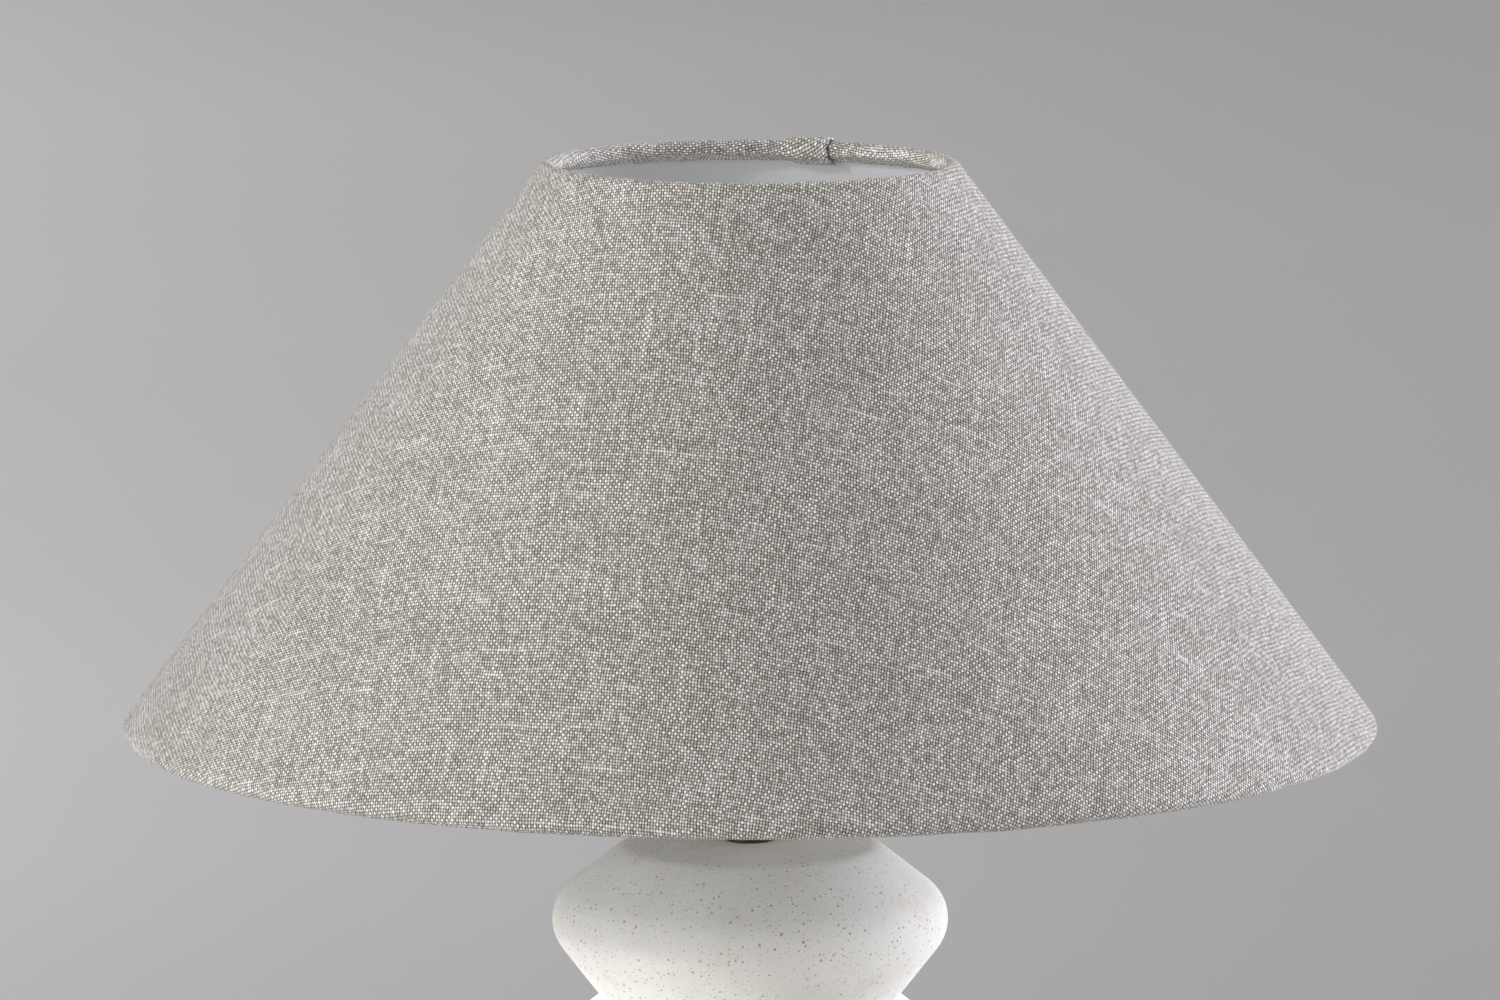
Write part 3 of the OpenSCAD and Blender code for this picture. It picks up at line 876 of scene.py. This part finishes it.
class LAMP_OT_lampholder(bpy.types.Operator):
    """Make the neck, the lampholder's skirt and its shade rings, and finish the rest"""

    bl_idname = "lamp.lampholder"
    bl_label = "Neck and Lampholder"

    def execute(self, context):
        colours = context.scene.lamp_colours
        bronze = shared("aged_brass", metal_finish, "aged_brass", colours.bronze, 0.42, 0.4)
        brass = shared("bare_brass", metal_finish, "bare_brass", colours.brass, 0.3)
        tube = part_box("threaded_tube")[1].x

        low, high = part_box("neck_collar")
        r = high.x
        neck = turned("neck_collar_turned", [
            (tube, low.z, 0), (r, low.z, 0.4 * MM), (r, low.z + 2 * MM, 0.5 * MM),
            (r - 1 * MM, low.z + 2.6 * MM, 0.4 * MM), (r - 1 * MM, high.z - 2.6 * MM, 0.4 * MM),
            (r, high.z - 2 * MM, 0.5 * MM), (r, high.z, 0.4 * MM), (tube, high.z, 0)],
            bronze, longest=0.003, steps=96)
        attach(neck, "base")
        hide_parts("neck_collar")

        low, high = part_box("lampholder_skirt")
        cap_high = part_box("lampholder_cap")[1]
        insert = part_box("lampholder_insert")[1]
        core = high.x - 0.7 * MM
        spigot = insert.x
        skirt = turned("skirt_core", [
            (SKIRT_BORE, low.z, 0), (spigot, low.z, 0), (spigot, cap_high.z, 0),
            (high.x, cap_high.z, 0.2 * MM), (high.x, cap_high.z + 2 * MM, 0.3 * MM),
            (core, cap_high.z + 2.4 * MM, 0.2 * MM), (core, high.z - 0.8 * MM, 0.3 * MM),
            (core - 0.8 * MM, high.z, 0.3 * MM), (SKIRT_BORE, high.z, 0.3 * MM)],
            brass, longest=0.004, steps=96)
        wound = grown("lampholder_skirt_threaded", skirt.data.copy(),
                      tree_named("Screw Thread", thread_tree),
                      {"Radius": core, "Start Height": cap_high.z + 3.5 * MM,
                       "Height": high.z - cap_high.z - 5.5 * MM, "Turns": 10.0,
                       "Crest": 0.65 * MM, "Material": brass})
        bpy.data.objects.remove(skirt)
        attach(wound, "base")
        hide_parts("lampholder_skirt")

        for node, body, grip in (("support_ring", "base", 0.0),
                                 ("clamp_ring", "shade_clamp", 0.3)):
            low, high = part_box(node)
            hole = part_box("lampholder_skirt")[1].x + grip * MM
            rim = high.x - 0.9 * MM
            ring = turned(node + "_core", [
                (hole, low.z, 0.2 * MM), (rim, low.z, 0.5 * MM), (rim, high.z, 0.5 * MM),
                (hole, high.z, 0.4 * MM)], bronze, longest=0.004, steps=96)
            ribbed = grown(node + "_ribbed", ring.data.copy(), tree_named("Rim Ribs", rib_tree),
                           {"Count": 40, "Rim Radius": rim, "Rib Radius": 0.9 * MM,
                            "Rib Height": (high.z - low.z) - 1.2 * MM,
                            "Middle Height": (high.z + low.z) / 2, "Material": bronze})
            bpy.data.objects.remove(ring)
            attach(ribbed, body)
            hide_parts(node)

        finish_nodes(brass, "lampholder_cap", "terminal_screws", "centre_contact", "screw_shell")
        porcelain = shared("white_porcelain", plain_finish, "white_porcelain",
                           (0.84, 0.83, 0.80), 0.3)
        finish_nodes(porcelain, "lampholder_insert")
        black = shared("black_moulding", plain_finish, "black_moulding", (0.02, 0.02, 0.02), 0.25)
        finish_nodes(black, "push_bar", "bulb_insulator")
        return {"FINISHED"}


class LAMP_OT_bulb(bpy.types.Operator):
    """Blow the opal globe and wind the thread of its cap"""

    bl_idname = "lamp.bulb"
    bl_label = "Bulb"

    def execute(self, context):
        nickel = shared("nickel_plate", metal_finish, "nickel_plate", (0.70, 0.69, 0.66), 0.28)
        opal = shared("opal_glass", plain_finish, "opal_glass", (0.88, 0.88, 0.86), 0.22,
                      grain=300.0, depth=0.01, Coat_Weight=0.4)
        white = shared("white_moulding", plain_finish, "white_moulding",
                       (0.84, 0.84, 0.82), 0.35)

        low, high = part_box("bulb_cap")
        core = high.x - 0.7 * MM
        stem = turned("cap_core", [
            (ON_AXIS, low.z, 0), (9 * MM, low.z, 0.5 * MM), (core, low.z + 2.6 * MM, 0.6 * MM),
            (core, high.z - 2 * MM, 0.3 * MM), (high.x, high.z - 1.5 * MM, 0.3 * MM),
            (high.x, high.z, 0), (ON_AXIS, high.z, 0)], nickel, longest=0.004, steps=96)
        cap = grown("bulb_cap_threaded", stem.data.copy(),
                    tree_named("Screw Thread", thread_tree),
                    {"Radius": core - 0.2 * MM, "Start Height": low.z + 4 * MM,
                     "Height": high.z - low.z - 8 * MM, "Turns": 3.6, "Crest": 0.88 * MM,
                     "Material": nickel})
        bpy.data.objects.remove(stem)

        neck_low, neck_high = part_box("bulb_collar")
        collar = turned("bulb_collar_turned", [
            (ON_AXIS, neck_low.z, 0), (COLLAR_FOOT, neck_low.z, 0.4 * MM),
            (COLLAR_FOOT, neck_low.z + 3 * MM, 1 * MM), (neck_high.x, neck_high.z, 0.1 * MM),
            (ON_AXIS, neck_high.z, 0)], white, longest=0.003, steps=128)

        globe_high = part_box("bulb_globe")[1]
        middle = globe_high.z - globe_high.x
        rim = math.asin(neck_high.x / globe_high.x)
        arc = [(globe_high.x * math.sin(a), middle - globe_high.x * math.cos(a), 0)
               for a in np.linspace(rim, math.pi - POLE, 40)]
        inside = globe_high.x - GLASS
        inner = [(inside * math.sin(a), middle - inside * math.cos(a), 0)
                 for a in np.linspace(math.pi - POLE, rim + 0.02, 40)]
        globe = turned("bulb_globe_blown", arc + inner, opal, longest=0.004, steps=128)
        for piece, node, slot in ((cap, "bulb_cap", "nickel"),
                                  (collar, "bulb_collar", "white_plastic"),
                                  (globe, "bulb_globe", "opal")):
            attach(piece, "bulb")
            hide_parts(node)
        finish_nodes(nickel, "bulb_contact")
        return {"FINISHED"}


# --------------------------------------------------------------------- stage


# Name, azimuth (0 behind the camera, 90 to the right), height, width, strength and tint.
# The directions were chosen. The strengths and tints started from a fit made by a separate
# program and were then partly changed by hand, as were the floor lights and the sky.
FAR_LIGHTS = (
    ("window_key", -45, 26, 4, 1.45, (1.0, 0.99, 1.0)),
    ("window_side", -90, 26, 4, 1.12, (1.0, 1.0, 1.03)),
    ("window_low", -90, 10, 30, 0.62, (0.96, 0.97, 1.02)),
    ("window_low_front", -45, 10, 30, 1.06, (1.0, 0.98, 0.96)),
    ("room_front", 45, 10, 30, 0.24, (1.0, 0.97, 0.95)),
    ("room_right", 105, 10, 30, 2.60, (0.96, 0.97, 1.08)),
    ("room_back", 125, 10, 30, 1.26, (0.98, 0.99, 1.05)),
    ("room_back_high", 125, 26, 4, 0.75, (1.0, 1.0, 1.0)),
)


def light_only(light, *names):
    """Let a light reach the named pieces alone."""
    lit = bpy.data.collections.new(light.name + "_lit")
    for name in names:
        lit.objects.link(bpy.data.objects[name])
    light.light_linking.receiver_collection = lit


def far_light(name, azimuth, height, width, strength, tint):
    """A light far enough off to shine evenly; angles in degrees, 0 in front, 90 right."""
    data = bpy.data.lights.new(name, "SUN")
    data.energy = strength
    data.angle = math.radians(width)
    data.color = tint
    light = new_piece(name, data)
    light.rotation_euler = (math.radians(90 - height), 0, math.radians(azimuth))
    return light


def floor_light(name, x, y, z, length, width, watts):
    """A long soft box beside the floor behind the lamp; it lights the floor alone."""
    data = bpy.data.lights.new(name, "AREA")
    data.shape = "RECTANGLE"
    data.size, data.size_y = length, width
    data.energy = watts
    light = new_piece(name, data)
    light.location = (x, y, z)
    aim = Vector((-x, 0, -z)).normalized()
    along = Vector((0, 1, 0))
    turn = Matrix((along, (-aim).cross(along), -aim)).transposed()
    light.rotation_euler = turn.to_euler()
    light.visible_camera = False
    light_only(light, "floor")


def bounce_light(name, width, watts):
    """A soft glow from just above the floor, as a white table top gives back."""
    data = bpy.data.lights.new(name, "AREA")
    data.size = width
    data.energy = watts
    data.color = (1.0, 0.99, 0.97)
    light = new_piece(name, data)
    light.location = (0, 0, 0.003)
    light.rotation_euler = (math.pi, 0, 0)
    light.visible_camera = False


class LAMP_OT_stage(bpy.types.Operator):
    """Lay the floor, hang the lights and stand the camera"""

    bl_idname = "lamp.stage"
    bl_label = "Stage"

    def execute(self, context):
        scene = context.scene
        floor = bpy.data.meshes.new("floor")
        half = FLOOR_HALF
        floor.from_pydata([(-half, -half, 0), (half, -half, 0), (half, half, 0),
                           (-half, half, 0)], [], [(0, 1, 2, 3)])
        f = Finish("floor_paint")
        place = f.place()
        drift = f.noise(place, 1.3, 2)
        base = f.blend(drift.ease(0.3, 0.7), rgba(scene.lamp_colours.floor, 0.985),
                       rgba(scene.lamp_colours.floor))
        floor.materials.append(f.surface(base, 0.9, Specular_IOR_Level=0.1))
        new_piece("floor", floor)

        world = bpy.data.worlds.new("studio")
        scene.world = world
        world.use_nodes = True
        sky = world.node_tree.nodes["Background"]
        sky.inputs["Color"].default_value = (0.97, 0.98, 1.0, 1.0)
        sky.inputs["Strength"].default_value = 0.10
        for light in FAR_LIGHTS:
            far_light(*light)
        light_only(far_light("shade_right", 105, 10, 30, 1.25, (0.96, 0.97, 1.08)),
                   "linen_cover", "liner_shell", "floor")
        floor_light("floor_glow", -2.5, 4.0, 1.4, 7.0, 1.0, 158.0)
        floor_light("floor_glow_near", -1.5, 1.5, 0.6, 1.2, 0.6, 14.0)
        bounce_light("floor_bounce", 1.6, 4.2)

        lens = bpy.data.cameras.new("camera")
        lens.sensor_width = 36.0
        lens.lens = 221.93
        lens.clip_end = 200.0
        camera = new_piece("camera", lens)
        camera.location = (0.0, -3.282, LOW_RING[1] - 0.18 * MM + 0.555)
        camera.rotation_euler = (math.radians(90 - 8.224), 0, 0)
        scene.camera = camera
        scene.view_settings.view_transform = "Standard"
        return {"FINISHED"}


# --------------------------------------------------------------------- panel


BUILDERS = (LAMP_OT_linen, LAMP_OT_shade_frame, LAMP_OT_ceramic, LAMP_OT_lampholder,
            LAMP_OT_bulb, LAMP_OT_stage)
GROUPS = (("lamp_base", LampBase), ("lamp_shade", LampShade), ("lamp_colours", LampColours))


class LAMP_PT_panel(bpy.types.Panel):
    """Sizes, colours and pieces of the lamp"""

    bl_idname = "LAMP_PT_panel"
    bl_label = "Cone Shade Lamp"
    bl_space_type = "VIEW_3D"
    bl_region_type = "UI"
    bl_category = "Lamp"

    def draw(self, context):
        for label, group in GROUPS:
            box = self.layout.box()
            for name in group.__annotations__:
                box.prop(getattr(context.scene, label), name)
        for builder in BUILDERS:
            self.layout.operator(builder.bl_idname)


def register():
    for _, group in GROUPS:
        bpy.utils.register_class(group)
    for builder in BUILDERS:
        bpy.utils.register_class(builder)
    bpy.utils.register_class(LAMP_PT_panel)
    for label, group in GROUPS:
        setattr(bpy.types.Scene, label, bpy.props.PointerProperty(type=group))


def unregister():
    for label, _ in GROUPS:
        delattr(bpy.types.Scene, label)
    bpy.utils.unregister_class(LAMP_PT_panel)
    for builder in reversed(BUILDERS):
        bpy.utils.unregister_class(builder)
    for _, group in reversed(GROUPS):
        bpy.utils.unregister_class(group)


def main():
    register()
    bpy.ops.lamp.shade_frame()
    bpy.ops.lamp.linen()
    bpy.ops.lamp.ceramic()
    bpy.ops.lamp.lampholder()
    bpy.ops.lamp.bulb()
    bpy.ops.lamp.stage()


if __name__ == "__main__":
    main()
